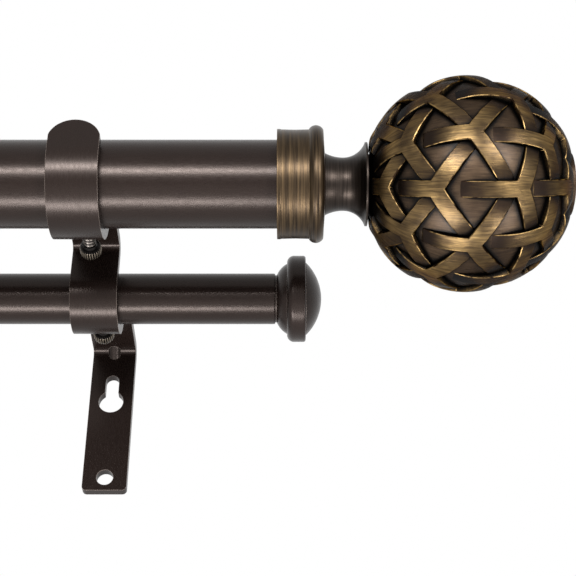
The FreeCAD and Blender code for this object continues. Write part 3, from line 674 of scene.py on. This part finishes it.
def add_strap(mesh_data, limb, looks, azimuth, row, stem_start):
    """One Y-shaped strap, its top curved over the ball and its sides down into the core.

    The UV layer holds how far along its limb a corner is: 0 at the fork, 1 at the end.
    """
    fork, arm_rise = row
    radius, dip = looks.diameter / 2, looks.strap_dip
    deep = radius - looks.strap_height - FOOT_DEPTH
    limbs, corners = strap_limbs(looks, fork, stem_start, arm_rise)
    out, along = ball_direction(fork, 0), ball_direction(fork + 90, 0)
    spin = Matrix.Rotation(math.radians(azimuth), 3, "X")
    tops, feet = {}, {}

    def vertex(store, place, height):
        key = (round(place[0] / MM, 3), round(place[1] / MM, 3))
        if key not in store:
            point = out * height + along * place.x + Vector((0, 1, 0)) * place.y
            store[key] = mesh_data.verts.new(spin @ point)
        return store[key]

    def top(place):
        flat = place.xy.length_squared
        sunk = END_SINK * max(0, (place.z - SINK_START) / (1 - SINK_START)) ** 2
        return vertex(tops, place, dip + math.sqrt((radius - dip) ** 2 - flat) - sunk)

    def foot(place):
        return vertex(feet, place, math.sqrt(deep ** 2 - place.xy.length_squared))

    def face(places, makers):
        made = mesh_data.faces.new([maker(place) for maker, place in zip(makers, places)])
        for loop, place in zip(made.loops, places):
            loop[limb].uv = (place.z, 0)

    def side(ends):
        face(ends + ends[::-1], [foot, foot, top, top])

    for near_right, near_left, end_right, end_left in limbs:
        def place(i, j, near_right=near_right, near_left=near_left,
                  end_right=end_right, end_left=end_left):
            u, v = i / LIMB_STEPS, j / WIDTH_STEPS
            start = near_right.lerp(near_left, v)
            point = start.lerp(end_right.lerp(end_left, v), u)
            return Vector((point.x, point.y, u))

        for i in range(LIMB_STEPS):
            for j in range(WIDTH_STEPS):
                face([place(i, j), place(i + 1, j), place(i + 1, j + 1), place(i, j + 1)], [top] * 4)
            side([place(i, 0), place(i + 1, 0)])
            side([place(i + 1, WIDTH_STEPS), place(i, WIDTH_STEPS)])
        for j in range(WIDTH_STEPS):
            side([place(LIMB_STEPS, j), place(LIMB_STEPS, j + 1)])
    first, second, third = corners
    rows = []
    for i in range(WIDTH_STEPS + 1):
        left, right = third.lerp(second, i / WIDTH_STEPS), third.lerp(first, i / WIDTH_STEPS)
        rows.append([left.lerp(right, j / max(i, 1)).to_3d() for j in range(i + 1)])
    for i in range(WIDTH_STEPS):
        for j in range(i + 1):
            face([rows[i][j], rows[i + 1][j], rows[i + 1][j + 1]], [top] * 3)
            if j < i:
                face([rows[i][j], rows[i + 1][j + 1], rows[i][j + 1]], [top] * 3)


def seat_reach(looks):
    """Distance from the ball's centre back to its flat seat."""
    return math.sqrt((looks.diameter / 2) ** 2 - SEAT_RADIUS ** 2)


def woven_straps(looks):
    """All straps of one ball in a bmesh."""
    mesh_data = bmesh.new()
    limb = mesh_data.loops.layers.uv.new("limb")
    column = 360 / looks.columns
    neck = -math.degrees(math.asin(seat_reach(looks) / (looks.diameter / 2)))
    starts = [neck, neck] + [fork + STEM_START for fork, _ in STRAP_ROWS]
    for index, (row, start) in enumerate(zip(STRAP_ROWS, starts)):
        first = math.degrees(looks.turn) - column * (index % 2)
        for copy in range(looks.columns // 2):
            add_strap(mesh_data, limb, looks, first + copy * 2 * column, row, start)
    bmesh.ops.recalc_face_normals(mesh_data, faces=mesh_data.faces)
    return mesh_data


def ball_core(looks):
    """The plain ball under the straps, with its seat and raised tip."""
    mesh_data = bmesh.new()
    radius = looks.diameter / 2
    core = radius - looks.strap_height
    seat = seat_reach(looks)
    start, stop = math.asin(max(-1, -seat / core)), math.acos(TIP_RADIUS / core)
    tip, end = math.acos(TIP_RADIUS / radius), math.radians(TIP_END)
    profile = [(-seat, SEAT_START)]
    for reach, low, high, steps in ((core, start, stop, CORE_STEPS), (radius, tip, end, TIP_STEPS)):
        for step in range(steps + 1):
            latitude = low + (high - low) * step / steps
            profile.append((reach * math.sin(latitude), reach * math.cos(latitude)))
    lathe(mesh_data, profile, ROUND_STEPS)
    return mesh_data


def ball_centre(looks, side):
    """Centre of a finial's ball: on the front tube's axis, a radius in from the ball's tip."""
    low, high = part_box(f"finial_ball_{side}")
    middle = (Vector(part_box("front_outer_tube")[0]) + Vector(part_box("front_outer_tube")[1])) / 2
    radius = looks.diameter / 2
    return Vector((high[0] - radius if side == "right" else low[0] + radius, *middle.yz))


class CURTAIN_POLE_OT_coated_steel(bpy.types.Operator):
    """Coat the tubes, brackets and end caps in dark bronze"""

    bl_idname = "curtain_pole.coated_steel"
    bl_label = "Coated Steel"

    def execute(self, context):
        looks = context.scene.coated_steel
        long, thin = looks.grain_length, looks.grain_width
        finish([f"{pole}_{part}_tube" for pole in POLES for part in ("outer", "inner")],
               coated_steel_material(looks, "bronze_coated_drawn_steel_tube", (long, thin, thin)))
        finish([f"bracket_{side}" for side in SIDES],
               coated_steel_material(looks, "bronze_coated_folded_steel_strip", (thin, long, long)))
        finish([f"end_cap_{side}" for side in SIDES],
               coated_steel_material(looks, "bronze_coated_turned_steel_cap", (thin, long, long)))
        return {"FINISHED"}


class CURTAIN_POLE_OT_turned_brass(bpy.types.Operator):
    """Finish the turned collars and necks of the finials"""

    bl_idname = "curtain_pole.turned_brass"
    bl_label = "Turned Brass"

    def execute(self, context):
        looks = context.scene.turned_brass
        finish([f"finial_collar_{side}" for side in SIDES], turned_material(
            looks, "antique_brass_turned_collar", looks.brass, looks.collar_mark))
        finish([f"finial_neck_{side}" for side in SIDES], turned_material(
            looks, "antique_bronze_turned_neck", looks.bronze, looks.neck_mark))
        return {"FINISHED"}


class CURTAIN_POLE_OT_woven_balls(bpy.types.Operator):
    """Build the woven ball finials"""

    bl_idname = "curtain_pole.woven_balls"
    bl_label = "Woven Balls"

    def execute(self, context):
        looks = context.scene.woven_balls
        strap, edge = strap_material(looks), worn_and_highlit_edge_material(looks)
        field = field_material(looks)
        for side in SIDES:
            node = f"finial_ball_{side}"
            body = body_of(frame["nodes"][node])[0]
            turn = Matrix.Rotation(0 if side == "right" else math.pi, 4, "Z")
            straps = new_piece(f"ball_straps_{side}", woven_straps(looks), ball_centre(looks, side),
                               turn, (strap, edge))
            eased = straps.modifiers.new("Eased Edges", "BEVEL")
            # Bevel faces take the edge material: rubbed brass with a painted highlight.
            eased.width, eased.segments, eased.material = looks.strap_edge, 2, 1
            eased.limit_method, eased.angle_limit = "ANGLE", math.radians(EASED_ANGLE)
            core = new_piece(f"ball_core_{side}", ball_core(looks), ball_centre(looks, side),
                             turn, (field,))
            for piece in (straps, core):
                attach(piece, body)
            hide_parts(node)
        return {"FINISHED"}


class CURTAIN_POLE_OT_thumb_screws(bpy.types.Operator):
    """Build the knurled thumb screws with their threads"""

    bl_idname = "curtain_pole.thumb_screws"
    bl_label = "Thumb Screws"

    def thread(self, looks, shank):
        """Rings of the thread, from the tip to the head."""
        crest = looks.shank / 2
        root = crest - RIDGE_SHARE * looks.pitch
        rows = int(shank / looks.pitch * PITCH_STEPS)
        rings = [(0, root * TIP_SHARE)]
        for row in range(1, rows):
            x = shank * row / rows

            def ridge(turn, x=x):
                phase = (x / looks.pitch - turn / (2 * math.pi)) % 1
                rise = 1 - abs(2 * phase - 1)
                faded = min(1, x / looks.pitch)
                return root + (crest - root) * rise * faded
            rings.append((x, ridge))
        return rings + [(shank, root)]

    def head(self, looks, start):
        """Rings of the head, from the small shoulder under it to its dished end."""
        half = looks.head / 2

        def knurl(scale):
            def rim(turn):
                wave = 0.5 + 0.5 * math.cos(turn * looks.teeth)
                return scale * (half - looks.tooth_depth * (1 - wave) ** 2)
            return rim
        rings = [(start + HEAD_NEAR[0][0] * MM, looks.shank / 2 * JOIN_SHARE)]
        for end, outline in ((start, HEAD_NEAR), (start + looks.head_length, HEAD_FAR)):
            for past, scale, knurled in outline:
                rings.append((end + past * MM, knurl(scale) if knurled else half * scale))
        return rings

    def screw(self, looks, reach):
        """A screw along X from its tip, as long as reach."""
        mesh_data = bmesh.new()
        shank = reach - looks.head_length
        lathe(mesh_data, self.thread(looks, shank), THREAD_STEPS, 1)
        lathe(mesh_data, self.head(looks, shank), TOOTH_STEPS * looks.teeth)
        bmesh.ops.recalc_face_normals(mesh_data, faces=mesh_data.faces)
        return mesh_data

    def execute(self, context):
        looks = context.scene.thumb_screws
        knurled = plated_steel_material("black_plated_knurled_steel", looks.plating,
                                        looks.tooth_tip, 0.45 * looks.head, 0.5 * looks.head)
        # The thread's paler crest is bare steel and a painted glint.
        rolled = plated_steel_material("black_plated_rolled_thread", looks.plating,
                                       looks.thread_crest_and_glint, 0.42 * looks.shank, 0.5 * looks.shank)
        for pole in POLES:
            for side in SIDES:
                node = f"thumb_screw_{pole}_{side}"
                low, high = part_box(node)
                tip = Vector(((low[0] + high[0]) / 2, low[1], (low[2] + high[2]) / 2))
                piece = new_piece(f"knurled_screw_{pole}_{side}",
                                  self.screw(looks, high[1] - low[1]), tip,
                                  Matrix.Rotation(math.pi / 2, 4, "Z"), (knurled, rolled))
                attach(piece, node)
                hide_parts(node)
        return {"FINISHED"}


class CURTAIN_POLE_OT_hidden_fixings(bpy.types.Operator):
    """Finish the studs and plugs inside the tubes"""

    bl_idname = "curtain_pole.hidden_fixings"
    bl_label = "Hidden Fixings"

    def execute(self, context):
        looks = context.scene.hidden_fixings
        finish([f"{part}_stud_{side}" for part in ("finial", "cap") for side in SIDES],
               plated_steel_material("zinc_plated_steel_stud", looks.zinc, looks.crest,
                                     *STUD_WEAR))
        finish([f"{pole}_plug_{side}" for pole in POLES for side in SIDES],
               moulded_nylon_material(looks))
        return {"FINISHED"}


class CURTAIN_POLE_OT_stage(bpy.types.Operator):
    """Set up the floor, backdrop, lamps, world and camera"""

    bl_idname = "curtain_pole.stage"
    bl_label = "Stage"

    def floor(self, looks):
        """A flat white floor that keeps the object's shadow."""
        wide, far, low = FLOOR_REACH, FLOOR_BEHIND, -looks.floor_depth
        mesh = bpy.data.meshes.new("floor")
        mesh.from_pydata([(-wide, -wide, low), (wide, -wide, low), (wide, far, low),
                          (-wide, far, low)], [], [(0, 1, 2, 3)])
        mesh.materials.append(backdrop_material("white_painted_board", looks.backdrop))
        board = bpy.data.objects.new("floor", mesh)
        bpy.context.scene.collection.objects.link(board)

    def lamp(self, name, watts):
        """A lamp that squarely faces the middle between the poles."""
        place, (size, size_y) = LAMPS[name]
        light = bpy.data.lights.new(name, "AREA")
        light.shape, light.size, light.size_y = "RECTANGLE", size, size_y
        light.energy = watts
        lamp = bpy.data.objects.new(name, light)
        bpy.context.scene.collection.objects.link(lamp)
        lamp.location = place
        aim = Vector((place[0], *LAMP_AIM)) - lamp.location
        lamp.rotation_euler = aim.to_track_quat("-Z", "Y").to_euler()

    def room(self, looks):
        """A world that is white in view and in what the metal mirrors."""
        world = bpy.data.worlds.new("white_room")
        world.use_nodes = True
        world.node_tree.nodes.clear()
        strength = add_node(world, "ShaderNodeMapRange", {
            "Value": seen_or_mirrored(world), "To Min": ROOM_LIGHT})
        sky = add_node(world, "ShaderNodeBackground", {
            "Color": opaque(looks.backdrop), "Strength": strength.outputs["Result"]})
        add_node(world, "ShaderNodeOutputWorld", {"Surface": sky.outputs[0]})
        return world

    def camera(self, looks):
        """The camera at the photograph's place, below the poles and in front of the wall."""
        lens = bpy.data.cameras.new("photo_camera")
        lens.lens, lens.sensor_width = looks.focal_length, SENSOR_WIDTH
        lens.clip_end = CAMERA_REACH
        camera = bpy.data.objects.new("photo_camera", lens)
        bpy.context.scene.collection.objects.link(camera)
        camera.location = CAMERA_PLACE
        camera.rotation_euler = (math.radians(CAMERA_PITCH), 0, 0)
        return camera

    def execute(self, context):
        looks = context.scene.pole_stage
        self.floor(looks)
        for name in LAMPS:
            self.lamp(name, getattr(looks, name))
        context.scene.world = self.room(looks)
        context.scene.camera = self.camera(looks)
        context.scene.view_settings.view_transform = "Standard"
        return {"FINISHED"}


OPERATORS = (
    CURTAIN_POLE_OT_coated_steel,
    CURTAIN_POLE_OT_turned_brass,
    CURTAIN_POLE_OT_woven_balls,
    CURTAIN_POLE_OT_thumb_screws,
    CURTAIN_POLE_OT_hidden_fixings,
    CURTAIN_POLE_OT_stage,
)


class CURTAIN_POLE_PT_panel(bpy.types.Panel):
    """Lists the pieces of the curtain pole with their sizes and colours"""

    bl_label = "Curtain Pole"
    bl_idname = "CURTAIN_POLE_PT_panel"
    bl_space_type = "VIEW_3D"
    bl_region_type = "UI"
    bl_category = "Curtain Pole"

    def draw(self, context):
        for operator in OPERATORS:
            self.layout.operator(operator.bl_idname)
        for name, group in SETTINGS.items():
            box = self.layout.box()
            box.label(text=name.replace("_", " ").title())
            for setting in group.__annotations__:
                box.prop(getattr(context.scene, name), setting)


CLASSES = (*SETTINGS.values(), *OPERATORS, CURTAIN_POLE_PT_panel)


def register():
    """Adds the classes, and the settings to the scene."""
    for cls in CLASSES:
        bpy.utils.register_class(cls)
    for name, group in SETTINGS.items():
        setattr(bpy.types.Scene, name, bpy.props.PointerProperty(type=group))


def unregister():
    """Takes the settings and the classes away again."""
    for name in SETTINGS:
        delattr(bpy.types.Scene, name)
    for cls in reversed(CLASSES):
        bpy.utils.unregister_class(cls)


def main():
    """Builds the whole picture."""
    register()
    bpy.ops.curtain_pole.coated_steel()
    bpy.ops.curtain_pole.turned_brass()
    bpy.ops.curtain_pole.woven_balls()
    bpy.ops.curtain_pole.thumb_screws()
    bpy.ops.curtain_pole.hidden_fixings()
    bpy.ops.curtain_pole.stage()


if __name__ == "__main__":
    main()
